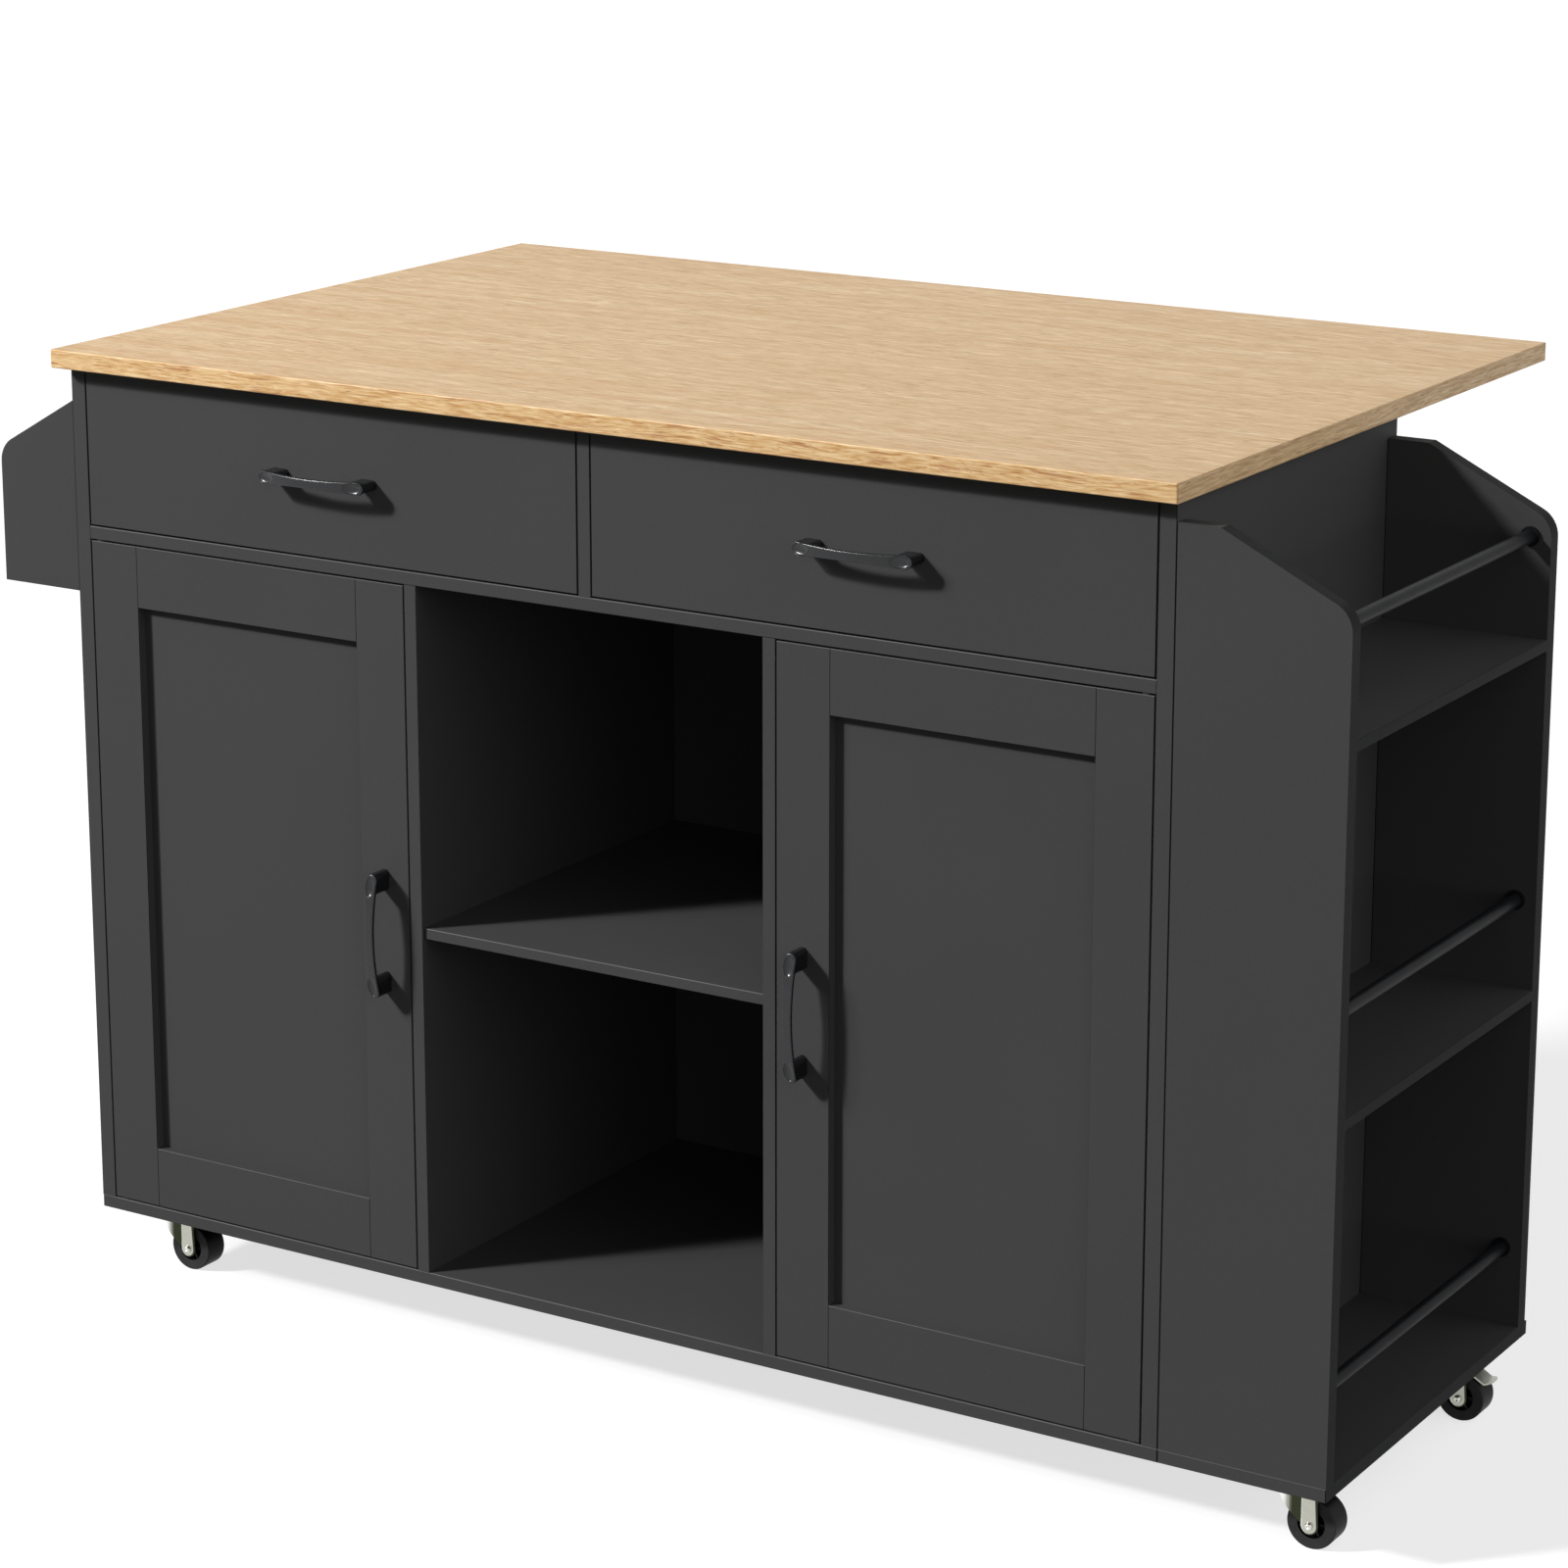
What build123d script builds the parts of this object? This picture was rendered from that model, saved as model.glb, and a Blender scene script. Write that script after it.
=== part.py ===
from build123d import *
from math import asin, degrees, radians, tan
import os

# Kitchen island cart, in millimetres. X runs left to right, the doors face -Y and Z rises from the floor.
# Every piece is drawn in cabinet places (X from the cabinet's left face, Y from its front plane) and
# moved at the end, so that the part's origin is the bottom centre of its bounding box.

# Cabinet
cabinet_width = 1120
cabinet_height = 798
panel_depth = 413
panel_thickness = 15
board_thickness = 12
shelf_thickness = 10
back_thickness = 4
caster_height = 65
drawer_opening = 147
cupboard_width = 354.5
eased_edge = 0.8

# Worktop
worktop_thickness = 17
worktop_depth = 744
worktop_side_overhang = 9
worktop_front_overhang = 18
worktop_corner = 2
worktop_edge = 1.2
cleat_size = 18
cleat_inset = 25
stretcher_height = 60

# Shelves of the centre bay and of the cupboards
shelf_height = 326
shelf_setback = 3
cupboard_shelf_setback = 30
shelf_side_gap = 0.5
shelf_pin_radius = 2.5
shelf_pin_seat = 5.5
shelf_pin_reach = 7
shelf_pin_inset = 45

# Rack on the right end
rack_reach = 152
rack_drop = 18
rack_flat = 38
rack_slope = 26
rack_corner = 25
rack_top_room = 176
rail_radius = 6
rail_inset = 18.5
rail_rises = (72, 79, 88)
rail_seat = 8
ferrule_radius = 8.5
ferrule_width = 3

# Towel rack on the left end
towel_reach = 88
towel_drop = 32
towel_slope = 30
towel_height = 177.5
towel_corner = 25
towel_bar_inset = 28
towel_bar_rise = 45

# Doors
door_thickness = 15
door_gap = 1.5
stile_width = 52
rail_width = 57
door_recess = 9
rebate_width = 8
seam_ease = 0.5
pivot_radius = 2.5
pivot_inset = 8.5
pivot_setback = 4.5
pivot_seat = 20
pivot_reach = 8
bush_radius = 3.6
bush_flange_radius = 4.3
bush_depth = 9
door_handle_height = 318
catch_width = 44
catch_depth = 18
catch_height = 12
catch_inset = 30
pole_width = 18
pole_gauge = 1.6
pole_spacing = 6
pole_lead = 1
strike_thickness = 1
strike_radius = 7

# Drawers
drawer_gap = 1.5
drawer_top_gap = 2
front_thickness = 15
box_side_thickness = 12
box_bottom_thickness = 5
box_bottom_rise = 8
groove_depth = 5
box_height = 100
box_rise = 12.5
box_rear_gap = 28
slide_space = 13
slide_height = 35
slide_end_gap = 18
slide_gauge = 1.2
channel_depth = 11.2
slide_setback = 2
drawer_handle_rise = 73

# Strap handles
handle_length = 115
handle_bow = 6.5
handle_gauge = 2.8
handle_end_width = 12
handle_waist_width = 8.5
handle_projection = 27
handle_hole_spacing = 96
post_length = 20
post_width = 9
dish_length = 18
dish_width = 10
dish_depth = 2
dish_inset = 10.8
strap_round = 1.2
handle_screw_radius = 2
handle_screw_seat = 9

# Swivel casters
caster_inset_x = 50
caster_inset_y = 56
caster_trail = 18
wheel_radius = 22
wheel_width = 24
tread_round = 1.2
rim_radius = 12.5
hub_radius = 6.5
web_thickness = 6
rib_count = 6
rib_thickness = 2
rib_drop = 2.5
axle_radius = 3
fork_gauge = 2.4
fork_inner_width = 27.8
hood_radius = 17.6
hood_gauge = 1.6
hood_lap = 0.3
hood_low = 22
fork_end_radius = 8
fork_lean = 2
fork_top = 54.7
cheek_round = 1.6
race_gap = 0.3
race_radius = 15
race_height = 3
race_taper = 1.5
plate_size = 40
plate_thickness = 2.5
plate_corner = 4
plate_hole_pitch = 30
kingpin_radius = 4
kingpin_head_radius = 6.5
kingpin_head = 2.2
rivet_radius = 3.6
rivet_reach = 3
rivet_collar_radius = 5.5
rivet_collar = 0.6
rivet_round = 1

# Toe brakes of the rear casters
pedal_gauge = 1.6
pedal_pivot_x = 20
pedal_pivot_z = 48.6
pedal_barrel_radius = 2.8
pedal_pin_radius = 1.5
pedal_knee_x = 39
pedal_knee_z = 37.6
pedal_tip_x = 46
pedal_tip_z = 39.6
pedal_width = 20
pedal_corner = 7

# Screws and fits
screw_radius = 2
screw_head_radius = 3.5
screw_head = 2
screw_grip = 9
screw_tip_gap = 1
running_fit = 0.05
snug_fit = 0.04
screw_fit = 0.1
slide_fit = 0.3

# Heights above the floor and the lines that several pieces share
base_top = caster_height + board_thickness
worktop_bottom = base_top + cabinet_height
worktop_top = worktop_bottom + worktop_thickness
deck_top = worktop_bottom - drawer_opening
deck_bottom = deck_top - board_thickness
rack_end = cabinet_width + rack_reach
rack_upper = cabinet_height - rack_top_room
rack_shelf_heights = (rack_upper / 2, rack_upper)
rail_heights = [level + rise for level, rise in zip((0, *rack_shelf_heights), rail_rises)]
inner_left = panel_thickness
inner_right = cabinet_width - panel_thickness
divider_left = inner_left + cupboard_width
divider_right = inner_right - cupboard_width
centre_left = divider_left + board_thickness
centre_right = divider_right - board_thickness
drawer_divider_left = (cabinet_width - board_thickness) / 2
drawer_divider_right = (cabinet_width + board_thickness) / 2
base_depth = panel_depth + back_thickness
box_depth = panel_depth - front_thickness - box_rear_gap
slide_length = box_depth - slide_setback - slide_end_gap
stretcher_front = panel_depth - panel_thickness
shelf_top = base_top + shelf_height
shelf_bottom = shelf_top - shelf_thickness
pivot_y = pivot_setback
pivot_left = inner_left + door_gap + pivot_inset
pivot_right = inner_right - door_gap - pivot_inset
worktop_rear = worktop_depth - worktop_front_overhang
origin_x = (rack_end - towel_reach) / 2
origin_y = (worktop_rear - handle_projection) / 2
axle_height = wheel_radius
plate_bottom = caster_height - plate_thickness
cheek_outer = fork_inner_width / 2 + fork_gauge


def block(x0, x1, y0, y1, z0, z1):
    """A plain board between six planes."""
    middle = Pos((x0 + x1) / 2, (y0 + y1) / 2, (z0 + z1) / 2)
    return middle * Box(x1 - x0, y1 - y0, z1 - z0)


def rod(radius, start, direction, length):
    """A round bar that leaves its start point along a direction."""
    bottom = (Align.CENTER, Align.CENTER, Align.MIN)
    return Plane(origin=start, z_dir=direction) * Cylinder(radius, length, align=bottom)


def upright(y):
    """The plane whose sketches are drawn in X and Z and extruded towards the front."""
    return Plane(origin=(0, y, 0), x_dir=(1, 0, 0), z_dir=(0, -1, 0))


def edges_at(shape, **place):
    """The edges whose middle has the given coordinates."""
    found = shape.edges()
    for axis, value in place.items():
        found = found.filter_by(lambda edge: abs(getattr(edge.center(), axis) - value) < 0.01)
    return found


def ease_front(board, radius=eased_edge):
    """The board with the edges round its front face rounded off."""
    return fillet(board.faces().sort_by(Axis.Y)[0].edges(), radius)


# Where things stand: the screws and pins, and the holes that take them, are made from these places
def caster_places():
    places = {}
    for depth_name, y in (("front", caster_inset_y), ("rear", base_depth - caster_inset_y)):
        for side_name, x in (("left", caster_inset_x), ("right", rack_end - caster_inset_x)):
            places[f"{depth_name}_{side_name}"] = (x, y)
    return places


def caster_screw_places():
    half = plate_hole_pitch / 2
    return [
        (x + dx, y + dy)
        for x, y in caster_places().values()
        for dx in (-half, half)
        for dy in (-half, half)
    ]


def cleat_starts():
    """The left edge of each worktop cleat: one on each wall of the two drawer bays."""
    return (
        inner_left,
        drawer_divider_left - cleat_size,
        drawer_divider_right,
        inner_right - cleat_size,
    )


def cleat_screw_places():
    ends = (cleat_inset + cleat_size, stretcher_front - cleat_size)
    return [(x + cleat_size / 2, y) for x in cleat_starts() for y in ends]


def shelf_pin_rows():
    """The two depths at which each shelf rests on its pins."""
    return (shelf_pin_inset, panel_depth - shelf_pin_inset)


def shelf_pin_walls():
    """Each wall face that carries shelf pins, with the direction in which its pins stand out."""
    return (
        (inner_left, 1),
        (divider_left, -1),
        (centre_left, 1),
        (centre_right, -1),
        (divider_right, 1),
        (inner_right, -1),
    )


def shelf_pin(face, side, y, clearance):
    """One shelf pin, or the hole that takes it, seated in a wall face."""
    start = (face - side * shelf_pin_seat, y, shelf_bottom - shelf_pin_radius - running_fit)
    reach = 0 if clearance else shelf_pin_reach
    return rod(shelf_pin_radius + clearance, start, (side, 0, 0), shelf_pin_seat + reach)


def shelf_pin_holes(*walls):
    holes = Part()
    for face, side in walls:
        for y in shelf_pin_rows():
            holes += shelf_pin(face, side, y, snug_fit)
    return holes


def screw(x, y, z, lift):
    """A pan-head screw driven upwards: its head's seat is at z and its tip is lift higher."""
    head = rod(screw_head_radius, (x, y, z - screw_head), (0, 0, 1), screw_head)
    head = fillet(head.edges().group_by(Axis.Z)[0], screw_head / 2)
    return head + rod(screw_radius, (x, y, z), (0, 0, 1), lift)


# Carcass
def worktop():
    top = block(
        -worktop_side_overhang,
        cabinet_width + worktop_side_overhang,
        -worktop_front_overhang,
        worktop_rear,
        worktop_bottom,
        worktop_top,
    )
    top = fillet(top.edges().filter_by(Axis.Z), worktop_corner)
    rims = top.faces().filter_by(Axis.Z).edges()
    top = fillet(rims, worktop_edge)
    for x, y in cleat_screw_places():
        top -= rod(screw_radius + screw_fit, (x, y, worktop_bottom), (0, 0, 1), screw_grip)
    return top


def base_board():
    base = ease_front(block(0, rack_end, 0, base_depth, caster_height, base_top))
    for x, y in caster_screw_places():
        base -= rod(screw_radius + screw_fit, (x, y, caster_height), (0, 0, 1), screw_grip)
    for x in (pivot_left, pivot_right):
        base -= rod(bush_radius + snug_fit, (x, pivot_y, base_top), (0, 0, -1), bush_depth)
    return base


def side_panels():
    left = block(0, inner_left, 0, panel_depth, base_top, worktop_bottom)
    right = block(inner_right, cabinet_width, 0, panel_depth, base_top, worktop_bottom)
    return (
        left - shelf_pin_holes((inner_left, 1)),
        right - shelf_pin_holes((inner_right, -1)),
    )


def dividers():
    left = block(divider_left, centre_left, 0, panel_depth, base_top, deck_bottom)
    right = block(centre_right, divider_right, 0, panel_depth, base_top, deck_bottom)
    return (
        left - shelf_pin_holes((divider_left, -1), (centre_left, 1)),
        right - shelf_pin_holes((centre_right, -1), (divider_right, 1)),
    )


def drawer_deck():
    deck = ease_front(block(inner_left, inner_right, 0, panel_depth, deck_bottom, deck_top))
    for x in (pivot_left, pivot_right):
        deck -= rod(bush_radius + snug_fit, (x, pivot_y, deck_bottom), (0, 0, 1), bush_depth)
    return deck


def drawer_divider():
    return block(
        drawer_divider_left, drawer_divider_right, 0, stretcher_front, deck_top, worktop_bottom
    )


def rear_stretcher():
    low = worktop_bottom - stretcher_height
    return block(inner_left, inner_right, stretcher_front, panel_depth, low, worktop_bottom)


def back_panel():
    return block(0, cabinet_width, panel_depth, base_depth, base_top, worktop_bottom)


def worktop_cleats():
    """Battens under the worktop, bored for the screws that hold it down."""
    cleats = Part()
    low = worktop_bottom - cleat_size
    for x in cleat_starts():
        cleats += block(x, x + cleat_size, cleat_inset, stretcher_front, low, worktop_bottom)
    for x, y in cleat_screw_places():
        cleats -= rod(screw_radius + screw_fit, (x, y, low), (0, 0, 1), cleat_size)
    return cleats


def centre_shelf():
    return ease_front(
        block(
            centre_left + shelf_side_gap,
            centre_right - shelf_side_gap,
            shelf_setback,
            panel_depth - shelf_side_gap,
            shelf_bottom,
            shelf_top,
        )
    )


def cupboard_shelves():
    shelves = Part()
    for left, right in ((inner_left, divider_left), (divider_right, inner_right)):
        shelves += block(
            left + shelf_side_gap,
            right - shelf_side_gap,
            cupboard_shelf_setback,
            panel_depth - shelf_side_gap,
            shelf_bottom,
            shelf_top,
        )
    return shelves


def shelf_pins():
    pins = Part()
    for face, side in shelf_pin_walls():
        for y in shelf_pin_rows():
            pins += shelf_pin(face, side, y, 0)
    return pins


def screws():
    """The caster screws and the worktop screws, as one group of separate pieces."""
    group = [screw(x, y, plate_bottom, plate_thickness + screw_grip) for x, y in caster_screw_places()]
    low = worktop_bottom - cleat_size
    group += [screw(x, y, low, cleat_size + screw_grip) for x, y in cleat_screw_places()]
    return Compound(children=group)


# Rack on the right end and towel rack on the left end
def rail_x():
    return rack_end - rail_inset


def towel_bar_place():
    low = worktop_bottom - towel_drop - towel_height
    return -towel_reach + towel_bar_inset, low + towel_bar_rise


def end_panel(outline, corner_x, corner_z, corner, y0):
    """A profiled board of the end racks, with its outer top corner rounded."""
    face = make_face(Polyline(*outline, close=True))
    panel = extrude(upright(y0 + panel_thickness) * face, panel_thickness)
    return fillet(edges_at(panel, X=corner_x, Z=corner_z), corner)


def rack_panel(y0, inward):
    """One end of the rack: inward is the side, +1 or -1 in Y, that takes the rails."""
    top = worktop_bottom - rack_drop
    shoulder = cabinet_width + rack_flat
    slope_end = top - (rack_end - shoulder) * tan(radians(rack_slope))
    outline = (
        (cabinet_width, base_top),
        (rack_end, base_top),
        (rack_end, slope_end),
        (shoulder, top),
        (cabinet_width, top),
    )
    panel = end_panel(outline, rack_end, slope_end, rack_corner, y0)
    mouth = y0 + panel_thickness if inward > 0 else y0
    for height in rail_heights:
        place = (rail_x(), mouth, base_top + height)
        panel -= rod(rail_radius + snug_fit, place, (0, -inward, 0), rail_seat + snug_fit)
    return panel


def towel_bracket(y0, inward):
    top = worktop_bottom - towel_drop
    slope_end = top - towel_reach * tan(radians(towel_slope))
    low = top - towel_height
    outline = ((0, low), (-towel_reach, low), (-towel_reach, slope_end), (0, top))
    bracket = end_panel(outline, -towel_reach, slope_end, towel_corner, y0)
    mouth = y0 + panel_thickness if inward > 0 else y0
    bar_x, bar_z = towel_bar_place()
    place = (bar_x, mouth, bar_z)
    return bracket - rod(rail_radius + snug_fit, place, (0, -inward, 0), rail_seat + snug_fit)


def flanged_rail(x, z):
    """A round rail let into both end panels, with a ferrule against each panel."""
    profile = Polyline(
        (0, panel_thickness - rail_seat),
        (rail_radius, panel_thickness - rail_seat),
        (rail_radius, panel_thickness),
        (ferrule_radius, panel_thickness),
        (ferrule_radius, panel_thickness + ferrule_width),
        (rail_radius, panel_thickness + ferrule_width),
        (rail_radius, panel_depth / 2),
        (0, panel_depth / 2),
        close=True,
    )
    half = revolve(make_face(profile), Axis.Y)
    return Pos(x, 0, z) * (half + mirror(half, Plane.XZ.offset(-panel_depth / 2)))


def rack_rails():
    rails = Part()
    for height in rail_heights:
        rails += flanged_rail(rail_x(), base_top + height)
    return rails


def rack_shelves():
    """Two shelves between the rack's end panels, flush with their outer edge."""
    shelves = Part()
    front = panel_thickness
    back = panel_depth - panel_thickness
    for height in rack_shelf_heights:
        top = base_top + height
        board = block(cabinet_width, rack_end, front, back, top - shelf_thickness, top)
        shelves += fillet(board.faces().sort_by(Axis.X)[-1].edges().filter_by(Axis.Y), eased_edge)
    return shelves


# Strap handle: a bowed bar with a waist and dished ends on two posts
def handle():
    """A handle along X on the plane Y = 0, standing out towards -Y."""
    half = handle_length / 2
    back = handle_gauge - handle_projection
    outer = handle_arc(-handle_projection)
    inner = handle_arc(back)
    section = make_face([outer, Line(outer @ 1, inner @ 1), inner, Line(inner @ 0, outer @ 0)])
    strap = extrude(section, handle_end_width / 2, both=True)
    strap &= extrude(upright(0) * handle_front_view(), handle_projection, both=True)
    strap = fillet(strap.faces().sort_by(Axis.Y)[0].edges(), strap_round)
    behind = make_face(
        [inner, Line(inner @ 1, (half, 0)), Line((half, 0), (-half, 0)), Line((-half, 0), inner @ 0)]
    )
    room = extrude(behind, handle_end_width / 2, both=True)
    for side in (-1, 1):
        dish_x = side * (half - dish_inset)
        bowl = scale(Sphere(1), by=(dish_length / 2, dish_depth, dish_width / 2))
        strap -= Pos(dish_x, handle_face(dish_x), 0) * Rot(0, 0, handle_slope(dish_x)) * bowl
        foot = Pos(side * handle_hole_spacing / 2, 0, 0) * SlotOverall(post_length, post_width)
        strap += room & extrude(upright(0) * foot, handle_projection)
        start = (side * handle_hole_spacing / 2, 0, 0)
        strap -= rod(handle_screw_radius + screw_fit, start, (0, -1, 0), handle_screw_seat)
    return strap


def handle_arc(middle):
    """One face of the bowed strap, whose middle stands at a given Y."""
    half = handle_length / 2
    return ThreePointArc((-half, middle + handle_bow), (0, middle), (half, middle + handle_bow))


def handle_front_view():
    """The strap seen from the front: round ends joined by a waisted middle."""
    half = handle_length / 2
    end = handle_end_width / 2
    waist = handle_waist_width / 2
    shoulder = half - end
    return make_face(
        [
            ThreePointArc((-shoulder, end), (0, waist), (shoulder, end)),
            ThreePointArc((shoulder, end), (half, 0), (shoulder, -end)),
            ThreePointArc((shoulder, -end), (0, -waist), (-shoulder, -end)),
            ThreePointArc((-shoulder, -end), (-half, 0), (-shoulder, end)),
        ]
    )


def bow_radius():
    half = handle_length / 2
    return (half * half + handle_bow * handle_bow) / (2 * handle_bow)


def handle_face(x):
    """The Y of the strap's outer face at a distance x along the handle."""
    radius = bow_radius()
    return radius - handle_projection - (radius * radius - x * x) ** 0.5


def handle_slope(x):
    """How far the strap's face is turned about Z at a distance x along the handle."""
    return degrees(asin(x / bow_radius()))


def handle_screws(thickness):
    """The two screws that hold a handle from behind a board of this thickness."""
    group = []
    for side in (-1, 1):
        x = side * handle_hole_spacing / 2
        length = thickness + handle_screw_seat - screw_tip_gap
        shank = rod(handle_screw_radius, (x, thickness, 0), (0, -1, 0), length)
        head = rod(screw_head_radius, (x, thickness, 0), (0, 1, 0), screw_head)
        group.append(head + shank)
    return group


def handle_holes(thickness):
    holes = Part()
    for side in (-1, 1):
        start = (side * handle_hole_spacing / 2, thickness, 0)
        holes += rod(handle_screw_radius + screw_fit, start, (0, -1, 0), thickness)
    return holes


def handle_with_screws(place, thickness):
    pieces = [handle()] + handle_screws(thickness)
    return Compound(children=[place * piece for piece in pieces])


# Doors
def door_span(side):
    """The left and right edge of a door, side being left or right."""
    if side == "left":
        return inner_left + door_gap, divider_left - door_gap
    return divider_right + door_gap, inner_right - door_gap


def door_handle_place(side):
    left, right = door_span(side)
    x = right - stile_width / 2 if side == "left" else left + stile_width / 2
    return Pos(x, 0, base_top + door_handle_height) * Rot(0, 90, 0)


def door_frame(side):
    """Two stiles with two rails between them, rebated at the back for the panel."""
    left, right = door_span(side)
    low = base_top + door_gap
    high = deck_bottom - door_gap
    inner = (left + stile_width, right - stile_width)
    stiles = [(left, inner[0]), (inner[1], right)]
    rails = [(low, low + rail_width), (high - rail_width, high)]
    bars = [block(x0, x1, 0, door_thickness, low, high) for x0, x1 in stiles]
    bars += [block(*inner, 0, door_thickness, z0, z1) for z0, z1 in rails]
    rebate = block(
        inner[0] - rebate_width,
        inner[1] + rebate_width,
        door_recess,
        door_thickness,
        low + rail_width - rebate_width,
        high - rail_width + rebate_width,
    )
    x = pivot_left if side == "left" else pivot_right
    cuts = [rebate, door_handle_place(side) * handle_holes(door_thickness)]
    for z, up in ((low, 1), (high, -1)):
        cuts.append(rod(pivot_radius + snug_fit, (x, pivot_y, z), (0, 0, up), pivot_seat))
    pieces = []
    for bar in bars:
        bar = ease_front(bar, seam_ease)
        for cut in cuts:
            bar -= cut
        pieces.append(bar)
    return Compound(children=pieces)


def door_panel(side):
    left, right = door_span(side)
    margin_x = stile_width - rebate_width
    margin_z = door_gap + rail_width - rebate_width
    return block(
        left + margin_x,
        right - margin_x,
        door_recess,
        door_thickness,
        base_top + margin_z,
        deck_bottom - margin_z,
    )


def catch_x(side):
    """The middle of a door's catch, near the edge that swings free."""
    left, right = door_span(side)
    return right - catch_inset if side == "left" else left + catch_inset


def door_fittings(side):
    """The pivot pins and the strike plate of a door."""
    x = pivot_left if side == "left" else pivot_right
    low = base_top + door_gap
    high = deck_bottom - door_gap
    lower = rod(pivot_radius, (x, pivot_y, low + pivot_seat), (0, 0, -1), pivot_seat + pivot_reach)
    upper = rod(pivot_radius, (x, pivot_y, high - pivot_seat), (0, 0, 1), pivot_seat + pivot_reach)
    middle = (catch_x(side), door_thickness, deck_bottom - catch_height / 2 - door_gap)
    strike = rod(strike_radius, middle, (0, 1, 0), strike_thickness)
    strike &= block(0, cabinet_width, 0, panel_depth, 0, high)
    return Compound(children=[lower, upper, strike])


def door_bushes():
    """Flanged bushes in the base and the deck, in which the door pins turn."""
    flange = door_gap - slide_fit
    group = []
    for x in (pivot_left, pivot_right):
        for z, way in ((base_top, 1), (deck_bottom, -1)):
            bush = rod(bush_radius, (x, pivot_y, z), (0, 0, -way), bush_depth)
            bush += rod(bush_flange_radius, (x, pivot_y, z), (0, 0, way), flange)
            mouth = (x, pivot_y, z + way * flange)
            bush -= rod(pivot_radius + running_fit, mouth, (0, 0, -way), pivot_reach)
            group.append(bush)
    return Compound(children=group)


def door_catches():
    """Magnetic catches under the deck: a housing with two pole plates."""
    group = []
    front = door_thickness + strike_thickness + slide_fit
    back = front + catch_depth
    low = deck_bottom - catch_height
    for side in ("left", "right"):
        x = catch_x(side)
        half = catch_width / 2
        body = block(x - half, x + half, front + pole_lead, back, low, deck_bottom)
        body = fillet(body.edges().filter_by(Axis.Z), catch_depth / 8)
        half = pole_width / 2
        for dz in (-pole_spacing / 2, pole_spacing / 2):
            pole = (low + deck_bottom - pole_gauge) / 2 + dz
            body += block(x - half, x + half, front, back, pole, pole + pole_gauge)
        group.append(body)
    return Compound(children=group)


# Drawers
def drawer_bay(side):
    if side == "left":
        return inner_left, drawer_divider_left
    return drawer_divider_right, inner_right


def drawer_handle_place(side):
    left, right = drawer_bay(side)
    return Pos((left + right) / 2, 0, deck_top + drawer_handle_rise)


def drawer_front(side):
    left, right = drawer_bay(side)
    front = block(
        left + drawer_gap,
        right - drawer_gap,
        0,
        front_thickness,
        deck_top + drawer_gap,
        worktop_bottom - drawer_top_gap,
    )
    return ease_front(front) - drawer_handle_place(side) * handle_holes(front_thickness)


def box_levels():
    """The lower edge, the bottom panel's underside and the upper edge of a drawer box."""
    low = deck_top + box_rise
    return low, low + box_bottom_rise, low + box_height


def drawer_sides(side):
    left, right = drawer_bay(side)
    low, floor, high = box_levels()
    sides = Part()
    for x0, groove in (
        (left + slide_space, left + slide_space + box_side_thickness - groove_depth),
        (right - slide_space - box_side_thickness, right - slide_space - box_side_thickness),
    ):
        board = block(x0, x0 + box_side_thickness, front_thickness, front_thickness + box_depth, low, high)
        board = fillet(board.faces().sort_by(Axis.Z)[-1].edges().filter_by(Axis.Y), eased_edge)
        board -= block(
            groove,
            groove + groove_depth,
            front_thickness,
            front_thickness + box_depth,
            floor,
            floor + box_bottom_thickness,
        )
        sides += board
    return sides


def drawer_back(side):
    left, right = drawer_bay(side)
    low, floor, high = box_levels()
    margin = slide_space + box_side_thickness
    rear = front_thickness + box_depth
    return block(
        left + margin,
        right - margin,
        rear - box_side_thickness,
        rear,
        floor + box_bottom_thickness,
        high,
    )


def drawer_bottom(side):
    left, right = drawer_bay(side)
    low, floor, high = box_levels()
    margin = slide_space + box_side_thickness - groove_depth
    return block(
        left + margin,
        right - margin,
        front_thickness,
        front_thickness + box_depth,
        floor,
        floor + box_bottom_thickness,
    )


def slide_section(depth, height, face, side):
    """A folded channel: its web lies on a face and its flanges stand out by depth towards side."""
    middle = deck_top + box_rise + box_height / 2
    start = front_thickness + slide_setback
    end = start + slide_length
    inner = height / 2 - slide_gauge
    x0, x1 = sorted((face, face + side * depth))
    shell = block(x0, x1, start, end, middle - height / 2, middle + height / 2)
    x0, x1 = sorted((face + side * slide_gauge, face + side * depth))
    return shell - block(x0, x1, start, end, middle - inner, middle + inner)


def slide_channels():
    """The cabinet halves of the drawer slides, on the walls of both drawer bays."""
    channels = Part()
    for name in ("left", "right"):
        left, right = drawer_bay(name)
        channels += slide_section(channel_depth, slide_height, left, 1)
        channels += slide_section(channel_depth, slide_height, right, -1)
    return channels


def drawer_runners(side):
    """The drawer halves of the slides, nested in the channels."""
    left, right = drawer_bay(side)
    height = slide_height - 2 * slide_gauge - 2 * slide_fit
    depth = slide_space - slide_gauge - slide_fit
    runners = slide_section(depth, height, left + slide_space, -1)
    return runners + slide_section(depth, height, right - slide_space, 1)


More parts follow.
